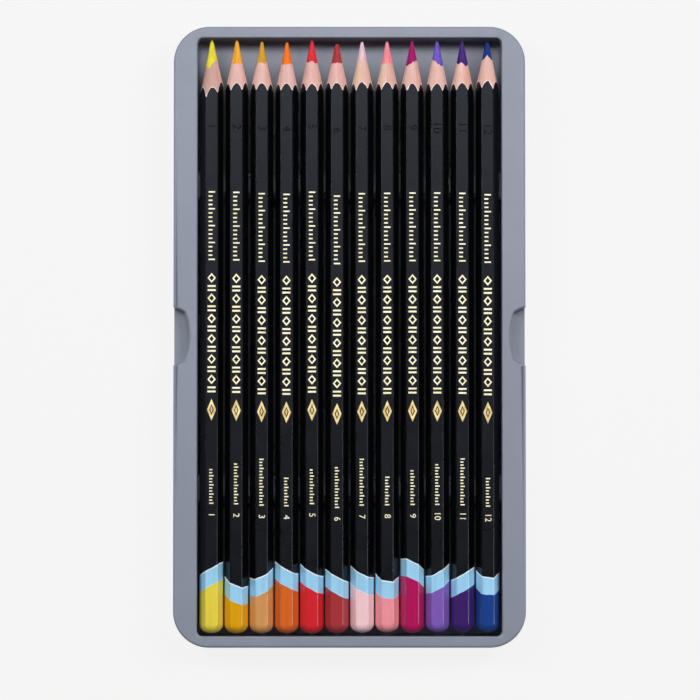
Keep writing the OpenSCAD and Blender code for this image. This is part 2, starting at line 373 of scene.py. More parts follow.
class Surface(Tree):
    """A material with one Principled surface that is being written."""

    def __init__(self, name: str) -> None:
        """Starts the material.

        Args:
            name: Name of the material.
        """
        self.material = bpy.data.materials.new(name)
        self.material.use_nodes = True
        super().__init__(self.material.node_tree)
        self.place = self.add("ShaderNodeTexCoord").outputs["Object"]

    def feed(self, **inputs: object) -> None:
        """Links or sets inputs of the Principled node, by name with _ for a space."""
        for name, value in inputs.items():
            self.join(value, self.tree.nodes["Principled BSDF"].inputs[name.replace("_", " ")])

    def effect(self, group: bpy.types.NodeTree, **numbers: float) -> Socket:
        """Places a shared effect with its numbers and returns its value."""
        values = {"Place": self.place, **numbers}
        return self.add("ShaderNodeGroup", values, node_tree=group).outputs["Value"]

    def streaks(self, across: float, along: float, seed: float) -> Socket:
        """Lines along Y, with so many changes to a millimetre across them and along them."""
        return self.effect(STREAKS, Across=across, Along=along, Seed=seed)

    def specks(self, size: float, share: float) -> Socket:
        """Dots of a size in millimetres, on more of the surface where share is higher."""
        return self.effect(SPECKS, Size=size, Share=share)

    def clouds(self, size: float, low: float = 0.0, high: float = 1.0) -> Socket:
        """Soft unevenness between two values, with patches of a size in millimetres."""
        return self.effect(CLOUDS, Size=size, Low=low, High=high)

    def grain(self, size: float, detail: float) -> Socket:
        """A plain noise with grains of a size in millimetres."""
        values = {"Vector": self.place, "Scale": 1 / (size * MM), "Detail": detail}
        return self.add("ShaderNodeTexNoise", values).outputs["Fac"]

    def glaze(self, base: object, pattern: Socket, most: float, over: object) -> Socket:
        """Lays a colour over another where a pattern is.

        Args:
            base: The colour below.
            pattern: The pattern, from zero to one.
            most: Share of the upper colour where the pattern is one.
            over: The upper colour.

        Returns:
            The mixed colour.
        """
        return self.mix(self.math("MULTIPLY", pattern, most), base, over)

    def relief(self, height: Socket, depth: float, strength: float) -> None:
        """Lets a pattern stand out of the surface.

        Args:
            height: The pattern, from zero to one.
            depth: Height of the pattern in millimetres.
            strength: Strength of the bump.
        """
        bump = self.add("ShaderNodeBump", {"Height": height, "Strength": strength, "Distance": depth * MM})
        self.feed(Normal=bump.outputs["Normal"])


# ---- Finishes ----


@dataclass(frozen=True)
class Finish(ABC):
    """How a surface looks: each kind of finish paints a material of its own."""

    name: str

    def material(self) -> Material:
        """Makes the finished material.

        Returns:
            The material.
        """
        made = Surface(self.name)
        self.paint(made)
        return made.material

    @abstractmethod
    def paint(self, made: Surface) -> None:
        """Lays the finish on a new surface."""


@dataclass(frozen=True)
class SteelPaint(Finish):
    """Satin lacquer sprayed on tinplate: a fine orange peel and soft handling marks."""

    tone: str
    dust: str = "#C9CCD4"

    def paint(self, made: Surface) -> None:
        """Lays on soft wear, a little dust and an orange peel.

        Args:
            made: The new surface.
        """
        worn = made.mix(made.clouds(size=45.0), self.tone, linear(self.tone, factor=0.93))
        dusty = made.glaze(worn, made.specks(size=0.9, share=0.12), 0.12, self.dust)
        made.feed(Base_Color=dusty, Roughness=made.clouds(size=14.0, low=0.33, high=0.43), Metallic=0.15)
        made.relief(made.grain(size=0.9, detail=1.0), depth=0.02, strength=0.25)


@dataclass(frozen=True)
class TrayPlastic(Finish):
    """Moulded satin plastic: an even blue-grey with a fine eroded texture."""

    tone: str = "#848A9A"

    def paint(self, made: Surface) -> None:
        """Lays on an uneven grey and an eroded texture.

        Args:
            made: The new surface.
        """
        uneven = made.mix(made.clouds(size=30.0), self.tone, linear(self.tone, factor=0.95))
        made.feed(Base_Color=uneven, Roughness=made.clouds(size=9.0, low=0.42, high=0.50))
        made.relief(made.grain(size=0.35, detail=2.0), depth=0.012, strength=0.3)


@dataclass(frozen=True)
class CedarWood(Finish):
    """Sharpened cedar of two glued slats, with straight grain and small flecks.

    The slats meet in a plane through the barrel's axis. A point's side of that plane is its
    distance along the plane's normal, worked out from its place across and above the axis.
    """

    first: str
    second: str
    glue_turn: float
    centre: tuple[float, float, float]
    seed: float
    grain_tone: str = "#C48A80"
    fine_tone: str = "#B07F74"
    pale_tone: str = "#F6D9CC"
    mottle_tone: str = "#DCA79B"
    fleck_tone: str = "#A26A55"
    glue_tone: str = "#C08876"

    def paint(self, made: Surface) -> None:
        """Lays on both slats with their glue line, three kinds of grain, mottling and flecks.

        Args:
            made: The new surface.
        """
        offset = tuple(-v for v in self.centre)
        made.place = made.add("ShaderNodeMapping", {"Vector": made.place, "Location": offset}).outputs[0]
        parts = made.add("ShaderNodeSeparateXYZ", {"Vector": made.place}).outputs
        turn = math.radians(self.glue_turn)
        across = made.math("MULTIPLY", parts["X"], math.sin(turn) / MM)
        above = made.math("MULTIPLY", parts["Z"], math.cos(turn) / MM)
        side = made.math("SUBTRACT", above, across)
        broad = made.streaks(across=0.9, along=0.05, seed=self.seed)
        fine = made.streaks(across=4.5, along=0.22, seed=self.seed + 7)
        pale = made.streaks(across=2.2, along=0.12, seed=self.seed + 19)
        mottle = made.clouds(size=0.55, high=0.3)
        glue = made.ramp(made.math("ABSOLUTE", side), 0.02, 0.09, 0.5, 0)
        toned = made.mix(made.ramp(side, -0.04, 0.04, 0, 1, "SMOOTHSTEP"), self.first, self.second)
        toned = made.glaze(toned, broad, 0.3, self.grain_tone)
        toned = made.glaze(toned, fine, 0.3, self.fine_tone)
        toned = made.glaze(toned, pale, 0.22, self.pale_tone)
        toned = made.mix(mottle, toned, self.mottle_tone)
        toned = made.glaze(toned, made.specks(size=0.5, share=0.35), 0.25, self.fleck_tone)
        made.feed(Base_Color=made.mix(glue, toned, self.glue_tone),
                  Roughness=made.ramp(fine, 0, 1, 0.55, 0.7), Specular_IOR_Level=0.25)
        made.relief(fine, depth=0.02, strength=0.35)


@dataclass(frozen=True)
class PigmentCore(Finish):
    """A waxy colored core, scraped along its length by the sharpener."""

    tone: str
    seed: float

    def paint(self, made: Surface) -> None:
        """Lays on dark scores darkened as painted shade, and smoother pale rubs painted as highlight
        lines, along the core.

        Args:
            made: The new surface.
        """
        shaded_scores = made.streaks(across=2.4, along=0.08, seed=self.seed)
        highlight_rubs = made.streaks(across=1.6, along=0.06, seed=self.seed + 5)
        # The darkened scores are painted shade and the pale rubs are painted highlight lines on the
        # scraped flutes.
        with_shaded_scores = made.glaze(self.tone, shaded_scores, 0.55, linear(self.tone, factor=0.4))
        with_highlight_rubs = made.glaze(with_shaded_scores, highlight_rubs, 0.35, linear(self.tone, factor=1.15, lift=0.03))
        made.feed(Base_Color=with_highlight_rubs, Roughness=made.ramp(highlight_rubs, 0, 1, 0.42, 0.32), Specular_IOR_Level=0.06)
        made.relief(shaded_scores, depth=0.02, strength=0.3)


@dataclass(frozen=True)
class Lacquer(Finish):
    """A gloss lacquer coat: a colour, faint flow lines along the barrel and tiny dust specks.

    A coat with a lip colour has it within about the lip's width in millimetres of its edge; where that
    colour is paler than the coat, it is a painted highlight on the edge's bead.
    """

    tone: str
    seed: float
    rough_low: float = 0.08
    rough_high: float = 0.13
    flow: float = 0.03
    tint: str = "#FFFFFF"
    gloss: float = 0.5
    dust: float = 0.12
    lip: str = ""
    lip_width: float = 0.3

    def paint(self, made: Surface) -> None:
        """Lays on flow lines, dust and the lip's colour, which is a painted highlight where it is paler.

        Args:
            made: The new surface.
        """
        lines = made.streaks(across=0.8, along=0.03, seed=self.seed)
        base = made.mix(lines, self.tone, linear(self.tone, factor=0.86))
        # A pale lip colour is a painted highlight along the bead of the coat's edge.
        if self.lip:
            behind = made.add("ShaderNodeAttribute", attribute_name="behind_edge").outputs["Fac"]
            near = made.ramp(behind, 0.4 * self.lip_width, self.lip_width, 1, 0, "SMOOTHSTEP")
            base = made.mix(near, base, self.lip)
        rough = made.clouds(size=7.0, low=self.rough_low, high=self.rough_high)
        dulled = made.math("MULTIPLY", made.specks(size=0.7, share=0.15), self.dust)
        made.feed(Base_Color=base, Roughness=made.math("ADD", rough, dulled),
                  Specular_Tint=self.tint, Specular_IOR_Level=self.gloss)
        made.relief(lines, depth=self.flow, strength=0.2)


@dataclass(frozen=True)
class Undercoat(Finish):
    """The pale primer that the sharpener lays bare under the lacquer."""

    tone: str = "#F7E6DF"
    chalk: str = "#E9C2B3"

    def paint(self, made: Surface) -> None:
        """Lays on an uneven chalky pink."""
        chalky = made.mix(made.clouds(size=0.8, high=0.4), self.tone, self.chalk)
        made.feed(Base_Color=chalky, Roughness=0.55)


@dataclass(frozen=True)
class GoldFoil(Finish):
    """Hot-stamped gold foil, slightly uneven where it took."""

    tone: str = "#FCF8DC"
    worn: str = "#EFE5B4"

    def paint(self, made: Surface) -> None:
        """Lays on gold with worn patches."""
        made.feed(Base_Color=made.mix(made.clouds(size=1.6), self.tone, self.worn),
                  Roughness=made.clouds(size=0.6, low=0.38, high=0.52), Metallic=0.1)


@dataclass(frozen=True)
class DullBlack(Finish):
    """Lacquer that a stamp without foil has dulled: the same black, and a little grey."""

    tone: str = "#030304"
    grey: str = "#08080A"

    def paint(self, made: Surface) -> None:
        """Lays on black with greyer and rougher patches.

        Args:
            made: The new surface.
        """
        patches = made.clouds(size=0.7)
        made.feed(Base_Color=made.mix(patches, self.tone, self.grey),
                  Roughness=made.ramp(patches, 0, 1, 0.6, 0.75), Specular_IOR_Level=0.15)


# ---- The steel tin and the tray ----


def dress_shell(node: str, crease: float, material: Material) -> None:
    """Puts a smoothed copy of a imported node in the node's place and gives it a finish.

    Args:
        node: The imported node.
        crease: Angle in degrees past which an edge is shaded sharp.
        material: The finish.
    """
    shell = frame["nodes"][node].copy()
    mesh = frame["nodes"][node].data.copy()
    shell.data = mesh
    shell.name = f"{node}_shell"
    mesh.name = shell.name
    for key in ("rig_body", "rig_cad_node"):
        if key in shell:
            del shell[key]
    shell.parent = None
    bpy.context.scene.collection.objects.link(shell)
    work = bmesh.new()
    work.from_mesh(mesh)
    bmesh.ops.remove_doubles(work, verts=work.verts, dist=MERGE_MM * MM)
    work.to_mesh(mesh)
    work.free()
    if mesh.has_custom_normals:
        mesh.attributes.remove(mesh.attributes["custom_normal"])
    mesh.shade_smooth()
    mesh.set_sharp_from_angle(angle=math.radians(crease))
    weighted = shell.modifiers.new("weighted", "WEIGHTED_NORMAL")
    weighted.keep_sharp = True
    weighted.weight = 80
    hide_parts(node)
    mesh.materials.clear()
    mesh.materials.append(material)
    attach(shell, node)
    log.info("%s: %d faces", shell.name, len(mesh.polygons))


@dataclass(frozen=True)
class SteelTin:
    """The pressed lid and base of the tin."""

    lid: SteelPaint = SteelPaint("lid_paint", "#8F94A3")
    base: SteelPaint = SteelPaint("base_paint", "#979BAA")
    crease: float = 32.0

    def build(self) -> None:
        """Dresses the lid and the base in satin paint."""
        dress_shell("lid", self.crease, self.lid.material())
        dress_shell("base", self.crease, self.base.material())


@dataclass(frozen=True)
class MouldedTray:
    """The tray with its rim, well, finger scoops and cradles."""

    plastic: TrayPlastic = TrayPlastic("tray_plastic")
    crease: float = 32.0

    def build(self) -> None:
        """Dresses the tray in satin plastic."""
        dress_shell("tray", self.crease, self.plastic.material())


# ---- Pencils ----


@dataclass(frozen=True)
class Traits:
    """What sets one pencil of the row apart.

    The colours, the roll, the point's setback, the dipped edge and the core's place follow the
    construction. The rest is the pencil's own wood and cut: chips in the lacquer's edge and notches
    in the core's, each as a turn and a width in degrees and a depth in millimetres.
    """

    core: str
    end: str
    rolled: float
    point_back: float
    dip_reach: float
    dip_turn: float
    core_off: tuple[float, float]
    first_slat: str
    second_slat: str
    glue_turn: float
    lean: float
    lean_turn: float
    tip_r: float = 0.42
    chips: Marks = ()
    notches: Marks = ()


ROW = (
    Traits("#E6D73C", "#EDD84A", 1.5, 0.0, 19.2, 5, (-0.12, 0.05), "#DDA9A1", "#B1918B", 43, 0.134, 300,
           chips=((122, 7, 0.2),), notches=((118, 30, 0.1), (75, 20, -0.06))),
    Traits("#F5AA32", "#E7A816", -1.0, 0.1, 15.5, 225, (0.08, 0.10), "#DFB5AD", "#DFB7B1", 8, 0.02, 300),
    Traits("#D7A032", "#DD9E5F", 0.5, 0.5, 18.0, -40, (-0.14, 0.0), "#DFAFA5", "#E0BAB3", 60, 0.016, 120,
           notches=((50, 30, 0.1), (120, 25, -0.08))),
    Traits("#FA781E", "#DD6A2B", -1.5, 0.7, 19.5, 195, (0.0, 0.05), "#DDB5B1", "#DDB7B5", 95, 0.022, 105),
    Traits("#DE303E", "#DD2B35", 1.0, 0.0, 18.9, 205, (0.02, -0.02), "#DCADA9", "#DFB4B1", 85, 0.036, 265,
           notches=((62, 12, 0.12), (100, 10, -0.06))),
    Traits("#B1373C", "#AE3A40", 0.5, 1.25, 17.2, 195, (-0.08, 0.05), "#DFAEA7", "#DFB6B1", 80, 0.03, 160,
           tip_r=0.64),
    Traits("#E1BEC8", "#FCD2D8", -1.5, 0.7, 18.2, 205, (0.10, -0.10), "#DFB6A5", "#E1C9AD", 90, 0.047, 66,
           chips=((118, 9, 0.35), (78, 5, 0.2))),
    Traits("#FA8C96", "#F799A3", 0.5, 0.7, 17.0, 258, (0.0, 0.08), "#D4AA9F", "#E1C1B1", 92, 0.027, 70),
    Traits("#9E1266", "#B81B5F", 1.5, 0.4, 20.3, 150, (-0.20, 0.0), "#DCA39D", "#DEB6AF", 62, 0.023, 214,
           chips=((112, 5, 0.3),), notches=((150, 22, 0.1),)),
    Traits("#6F56C1", "#845FBD", -1.0, 0.6, 18.5, -25, (0.20, 0.02), "#DEB8B1", "#E2C0B3", 110, 0.014, 249,
           notches=((40, 20, 0.08), (112, 18, -0.06))),
    Traits("#452479", "#40256F", -0.5, 0.7, 17.5, -10, (0.06, 0.08), "#DDA296", "#E3BFB5", 80, 0.012, 60,
           notches=((128, 16, 0.07), (52, 16, 0.1), (90, 9, -0.08))),
    Traits("#1B3782", "#204593", 1.0, 1.1, 18.1, 262, (0.0, -0.20), "#DFB6AD", "#E2BCB3", 120, 0.02, 100,
           tip_r=0.66, chips=((72, 6, 0.5), (62, 4, 0.3)),
           notches=((90, 16, -0.14), (40, 16, 0.08), (140, 16, 0.06))),
)


@dataclass(frozen=True)
class BarrelSizes:
    """Sizes that all the pencils share, in millimetres and degrees.

    A gap keeps a dipped coat just clear of the lacquer, and the band reaches under the end colour
    by its tuck. The lacquer's edge lies behind the cone by least_back, and more at the corners.
    """

    full_length: float = 176.0
    flats: float = 6.05
    corner_fillet: float = 0.45
    core_r: float = 1.7
    core_stop: float = 4.0
    half_angle: float = 11.7
    coats_t: float = 0.065
    black_t: float = 0.035
    least_back: float = 0.02
    corner_back: float = 0.1
    dip_t: float = 0.1
    dip_gap: float = 0.01
    band_t: float = 0.06
    band_gap: float = 0.002
    band_len: float = 5.2
    band_tuck: float = 1.0
    dip_tilt: float = 30.0
    dome_rise: float = 2.7
    dome_fullness: float = 2.15
    bead_t: float = 0.05
    bead_round: float = 0.1
    arc_points: int = 7
    flat_points: int = 17


@dataclass(frozen=True)
class Scrape:
    """How a sharpener leaves a cone: narrow flats at seeded turns, which fade at both ends.

    They fade over one part in near_ease of the cone at its near end, and over one in far_ease at
    its far end. The jitter is how far a flat may lie off its even place, in steps between flats.
    """

    seed: int
    count: int
    depth: float
    far_ease: float
    near_ease: float = 6.0
    jitter: float = 0.35


CORE_SCRAPE = Scrape(100, 12, 0.09, 8)
WOOD_SCRAPE = Scrape(200, 23, 0.012, 6)
CORE_EDGE = Wave(600, 2, 16, 0.1)
UNDERCOAT_EDGE = Wave(700, 9, 40, 0.1)
LACQUER_EDGE = Wave(300, 5, 34, 0.3)
BAND_EDGE = Wave(400, 2, 9, 0.09)
END_EDGE = Wave(500, 2, 9, 0.09)

# How far behind a coat's edge its rings lie along the barrel, in millimetres.
BARREL_RINGS = (0.0, 0.06, 0.4, 2.0, 8.0, 40.0, 90.0, 140.0)

# A dipped edge's bead: distance behind the edge in millimetres, and share of the bead's height.
BEAD = ((0.0, 0.05), (0.02, 0.6), (0.06, 1.0), (0.12, 1.0), (0.2, 0.75), (0.3, 0.3), (0.45, 0.0))

# The last ring of a coat's dome and of the casing's, as a share of the way to the pole.
POLE = 0.995
CASING_END = 0.7

# The first ring of the core's blunt tip, in radians from its pole.
TIP_START = 0.15


@dataclass(frozen=True)
class RingCounts:
    """How many rings each stretch of a pencil has."""

    tip: int = 6
    core_cone: int = 14
    casing_cone: int = 22
    casing_end: int = 5
    inner_dome: int = 6
    outer_dome: int = 9
    dip_dome: int = 12


COUNTS = RingCounts()


class Pencil:
    """One pencil: core, casing, coats and dipped end, as closed surfaces round one axis."""

    def __init__(self, number: int, traits: Traits, sizes: BarrelSizes) -> None:
        """Sets the pencil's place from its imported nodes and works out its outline.

        Args:
            number: The pencil's number in the row, from one.
            traits: What sets this pencil apart.
            sizes: The sizes that all the pencils share.
        """
        self.body = f"pencil_{number:02d}"
        self.number = number
        self.traits = traits
        self.sizes = sizes
        self.length = sizes.full_length - traits.point_back
        low, high = (np.array(corner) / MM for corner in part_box(f"{self.body}_lacquer"))
        tip_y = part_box(f"{self.body}_core")[1][1] / MM
        self.axis = np.array([(low[0] + high[0]) / 2, tip_y, (low[2] + high[2]) / 2])
        self.base, self.outward = self._outline()
        self.turn = np.arctan2(self.base[:, 1], self.base[:, 0])

    def _outline(self) -> tuple[Array, Array]:
        """The lacquered barrel's cross-section.

        It is a hexagon with a flat on top. Each corner is an arc of the fillet's radius round a
        centre on the corner's ray, over 60 degrees, and straight flats join the arcs.

        Returns:
            Points round the outline, and the outward normals there, each of shape (count, 2).
        """
        s = self.sizes
        reach = (s.flats / 2 - s.corner_fillet) / math.cos(math.pi / 6)
        corners = np.arange(6) * math.pi / 3
        centres = reach * np.stack([np.cos(corners), np.sin(corners)], axis=1)
        swing = np.linspace(-math.pi / 6, math.pi / 6, s.arc_points)
        angles = corners[:, None] + swing[None, :]
        arc_normals = np.stack([np.cos(angles), np.sin(angles)], axis=2)
        arcs = centres[:, None, :] + s.corner_fillet * arc_normals
        start = arcs[:, -1, :]
        stop = np.roll(arcs[:, 0, :], -1, axis=0)
        share = np.linspace(0, 1, s.flat_points + 2)[1:-1][None, :, None]
        flats = start[:, None, :] * (1 - share) + stop[:, None, :] * share
        flat_normals = np.repeat(arc_normals[:, -1:, :], s.flat_points, axis=1)
        points = np.concatenate([arcs, flats], axis=1).reshape(-1, 2)
        normals = np.concatenate([arc_normals, flat_normals], axis=1).reshape(-1, 2)
        return points, normals

    def outline(self, offset: float = 0.0) -> Array:
        """The cross-section moved outwards by offset."""
        return self.base + offset * self.outward

    def cone_z(self, across: Array) -> Array:
        """Height along the barrel at which the sharpened cone passes a point of the cross-section.

        The cone's radius grows evenly with z, and a little faster on the side it leans to.

        Args:
            across: Points across the barrel, shape (..., 2).

        Returns:
            Their distances along z from the point.
        """
        half = math.radians(self.sizes.half_angle)
        radius = np.hypot(across[..., 0], across[..., 1])
        turn = np.arctan2(across[..., 1], across[..., 0])
        lean = 1 + self.traits.lean * np.cos(turn - math.radians(self.traits.lean_turn))
        start_z = self.traits.tip_r * (1 - math.sin(half))
        start_r = self.traits.tip_r * math.cos(half)
        return start_z + (radius - start_r) / (math.tan(half) * lean)

    def core_edge(self) -> Array:
        """Points of the core's circle in the direction of each point of the outline.

        Along a direction e, the circle round centre c with radius r is met at the distance
        c.e + sqrt(r squared - (c x e) squared). A small ripple and the pencil's notches make it
        uneven.

        Returns:
            Points across the barrel, shape (count, 2).
        """
        ray = self.base / np.hypot(self.base[:, 0], self.base[:, 1])[:, None]
        centre = np.array(self.traits.core_off)
        along = ray @ centre
        beside = ray[:, 0] * centre[1] - ray[:, 1] * centre[0]
        uneven = CORE_EDGE.over(self.turn, self.number) + bumps(self.turn, self.traits.notches)
        return ray * (along + np.sqrt(self.sizes.core_r ** 2 - beside ** 2) + uneven)[:, None]

    def dome(self, offset: float, steps: int, stop: float = POLE) -> Rings:
        """Rings of the domed end for a coat at offset from the lacquer's face.

        Over the dome's parameter q from zero to one, the outline shrinks by the superellipse
        (1 - q ** n) ** (1 / n) and rises by q times the rise, while it rounds into a circle.

        Args:
            offset: Distance outwards from the lacquer's face.
            steps: Number of rings.
            stop: Largest q.

        Returns:
            Points across, shape (steps, count, 2), and heights along z, shape (steps, count).
        """
        s = self.sizes
        q = np.sin(np.linspace(0, 1, steps) * math.asin(stop))[:, None]
        shrink = (1 - q ** s.dome_fullness) ** (1 / s.dome_fullness)
        side = self.outline(offset)
        radius = np.hypot(side[:, 0], side[:, 1])
        blend = q ** 1.5
        size = (radius * (1 - blend) + radius.mean() * blend) * shrink
        across = (side / radius[:, None]) * size[:, :, None]
        shoulder = self.length - s.dip_t - s.dome_rise
        return across, shoulder + (s.dome_rise + offset) * q * np.ones_like(size)

    def dip_edge(self, across: Array, start: float) -> Array:
        """Height of a dipped edge: a plane tilted towards the pencil's own turn.

        Args:
            across: Points across the barrel, shape (..., 2).
            start: Where the plane crosses the axis.

        Returns:
            The plane's distances along z over the points.
        """
        turn = math.radians(self.traits.dip_turn)
        climb = math.tan(math.radians(self.sizes.dip_tilt))
        return start - climb * (across[..., 0] * math.cos(turn) + across[..., 1] * math.sin(turn))

    def place(self, across: Array, height: Array) -> Array:
        """Lays points of the pencil's own frame in the tray.

        The pencil is rolled about its axis, then x stays x, y points up and z runs back from the
        point, along -Y.

        Args:
            across: Points across the barrel, shape (..., 2).
            height: Distances along z, shape (...).

        Returns:
            Points in the tin's frame, in millimetres, shape (count, 3).
        """
        roll = math.radians(self.traits.rolled)
        x = across[..., 0] * math.cos(roll) + across[..., 1] * math.sin(roll)
        up = across[..., 1] * math.cos(roll) - across[..., 0] * math.sin(roll)
        points = np.stack([x, -height, up], axis=-1) + self.axis
        return points.reshape(-1, 3)

    def skin(self, part: str, rings: list[Rings], ends: Ends, crease: float = 35,
             edge: Array | None = None) -> bpy.types.Object:
        """Makes one closed surface of the pencil.

        Args:
            part: Name of the part, which follows the pencil's name.
            rings: Points across and heights, ring by ring, along +z on the outer side.
            ends: How the rings are closed.
            crease: Angle past which an edge is shaded sharp.
            edge: Height of the coat's edge at each point of the outline, if its finish needs it.

        Returns:
            The piece.
        """
        count = len(self.base)
        across = np.concatenate([a.reshape(-1, count, 2) for a, _ in rings])
        height = np.concatenate([np.broadcast_to(h, a.shape[:-1]).reshape(-1, count) for a, h in rings])
        faces = ring_faces(len(across), count, ends)
        behind = None if edge is None else (height - edge).reshape(-1)
        return make_piece(f"{self.body}_{part}", self.place(across, height), faces, crease, behind)

    def dress(self, piece: bpy.types.Object, material: Material, slot: str, *nodes: str) -> None:
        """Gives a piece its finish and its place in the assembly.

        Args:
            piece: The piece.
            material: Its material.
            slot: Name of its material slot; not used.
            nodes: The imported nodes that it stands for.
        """
        piece.data.materials.append(material)
        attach(piece, self.body)
        if nodes:
            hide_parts(*nodes)
        log.info("%s: %d faces", piece.name, len(piece.data.polygons))

    def facets(self, scrape: Scrape) -> Array:
        """Radius factors of a cone scraped into narrow flats.

        The cross-section is what is left inside straight cuts at seeded directions, each at a
        distance close to one: the smallest distance / cos(turn - direction) over the cuts. A cut
        reaches no further round than far_turn, so that its cosine stays above zero, and counts as
        out_of_reach past it.

        Args:
            scrape: Number, depth and seed of the cuts.

        Returns:
            One factor per point of the outline, at most one.
        """
        far_turn = 1.2
        out_of_reach = 2.0
        dice = np.random.default_rng(scrape.seed + self.number)
        step = FULL_TURN / scrape.count
        jitter = dice.uniform(-scrape.jitter, scrape.jitter, scrape.count)
        cuts = np.arange(scrape.count) * step + jitter * step
        reach = 1 - dice.uniform(0, scrape.depth, scrape.count)
        gap = np.abs((self.turn[:, None] - cuts + math.pi) % FULL_TURN - math.pi)
        cut = np.where(gap < far_turn, reach / np.cos(np.minimum(gap, far_turn)), out_of_reach)
        return np.minimum(cut.min(axis=1), 1.0)

    def scraped_cone(self, inner: Array, outer: Array, share: Array, scrape: Scrape) -> Rings:
        """Rings of the sharpened cone between two outlines, with flats that fade at both ends.

        Args:
            inner: The outline nearer to the point.
            outer: The outline further back.
            share: How far each ring lies from the inner outline to the outer one.
            scrape: How the cone is scraped.

        Returns:
            Points across and heights of the rings.
        """
        share = share[:, None]
        fade = np.minimum(1, scrape.far_ease * (1 - share)) * np.minimum(1, scrape.near_ease * share)
        cone = inner * (1 - share[:, :, None]) + outer * share[:, :, None]
        return cone * (1 - (1 - self.facets(scrape)) * fade)[:, :, None], self.cone_z(cone)

    def build_core(self) -> None:
        """The core: a blunt tip, a scraped cone, and its round length inside the casing."""
        edge = self.core_edge()
        last = math.pi / 2 - math.radians(self.sizes.half_angle)
        swing = np.linspace(TIP_START, last, COUNTS.tip)[:, None]
        ray = edge / np.hypot(edge[:, 0], edge[:, 1])[:, None]
        cap = ray * (self.traits.tip_r * np.sin(swing))[:, :, None]
        cone = self.scraped_cone(cap[-1], edge, np.linspace(0, 1, COUNTS.core_cone)[1:], CORE_SCRAPE)
        stop_z = self.length - self.sizes.core_stop
        rings = [(cap, self.traits.tip_r * (1 - np.cos(swing))), cone, (edge, stop_z)]
        slot = f"core_{self.number:02d}"
        finish = PigmentCore(slot, self.traits.core, seed=self.number * 3.1)
        piece = self.skin("core_point", rings, Ends.CAPPED, crease=50)
        self.dress(piece, finish.material(), slot, f"{self.body}_core")

    def build_casing(self) -> None:
        """The cedar casing: the cone from the core's edge to the coats, and a bored barrel."""
        coats_t = self.sizes.coats_t
        edge = self.core_edge()
        share = np.linspace(0, 1, COUNTS.casing_cone)
        cone = self.scraped_cone(edge, self.outline(-coats_t), share, WOOD_SCRAPE)
        end = self.dome(-coats_t, COUNTS.casing_end, CASING_END)
        piece = self.skin("cedar", [cone, end, (edge, end[1].max())], Ends.LOOPED)
        own = self.traits
        finish = CedarWood(f"cedar_{self.number:02d}", own.first_slat, own.second_slat,
                           own.glue_turn - own.rolled, tuple(self.axis * MM), seed=self.number * 1.7)
        self.dress(piece, finish.material(), "casing_wood", f"{self.body}_casing")

    def cup(self, inner: float, outer: float, setback: Array) -> list[Rings]:
        """Rings of a coat between two offsets, from the cone to its closed end over the dome.

        Args:
            inner: Offset of the coat's inner face.
            outer: Offset of its outer face.
            setback: How far the coat's edge lies behind the cone, per point of the outline.

        Returns:
            Rings from the inner pole over the front edge to the outer pole.
        """
        within, within_z = self.dome(inner, COUNTS.inner_dome)
        front_in = self.outline(inner)
        front_out = self.outline(outer)
        lengths = np.array(BARREL_RINGS)[:, None]
        barrel = np.repeat(front_out[None], len(lengths), axis=0)
        return [(within[::-1], within_z[::-1]), (front_in, self.cone_z(front_in) + setback),
                (barrel, self.cone_z(front_out) + setback + lengths), self.dome(outer, COUNTS.outer_dome)]

    def build_coats(self, undercoat: Material, black: Material) -> None:
        """The pale undercoat and the black lacquer, both cut to scallops by the cone.

        The lacquer lies further back at the corners, by corner_back times
        (0.5 + 0.5 cos(6 turn)) ** 4: all of it at a corner, and none in the middle of a flat.

        Args:
            undercoat: Material of the undercoat.
            black: Material of the lacquer.
        """
        s = self.sizes
        corner = (0.5 + 0.5 * np.cos(6 * self.turn)) ** 4
        frayed = np.maximum(0, UNDERCOAT_EDGE.over(self.turn, self.number))
        primer = self.skin("undercoat", self.cup(-s.coats_t, -s.black_t, frayed), Ends.CAPPED)
        self.dress(primer, undercoat, "casing_wood")
        ragged = np.maximum(0, LACQUER_EDGE.over(self.turn, self.number)) + s.least_back
        ragged += bumps(self.turn, self.traits.chips) + frayed + s.corner_back * corner
        lacquer = self.skin("black_coat", self.cup(-s.black_t, 0.0, ragged), Ends.CAPPED)
        self.dress(lacquer, black, "barrel_lacquer", f"{self.body}_lacquer")

    def beaded(self, start: float, thick: float, wave: Wave) -> Rings:
        """Rings of a dipped coat's edge, which swells into a rounded bead.

        Behind the edge by a distance d, the coat's thickness rises as a quarter round to a bead
        above its full thickness, and settles back to it.

        Args:
            start: Where the edge's plane crosses the axis.
            thick: The coat's full thickness.
            wave: The edge's waviness.

        Returns:
            Points across and heights of the rings.
        """
        back, rise = np.array(BEAD).T
        height = thick * np.sqrt(np.minimum(back / self.sizes.bead_round, 1)) + self.sizes.bead_t * rise
        across = np.stack([self.outline(h) for h in height])
        edge = self.dip_edge(self.outline(), start) + wave.over(self.turn, self.number)
        return across, edge + back[:, None]

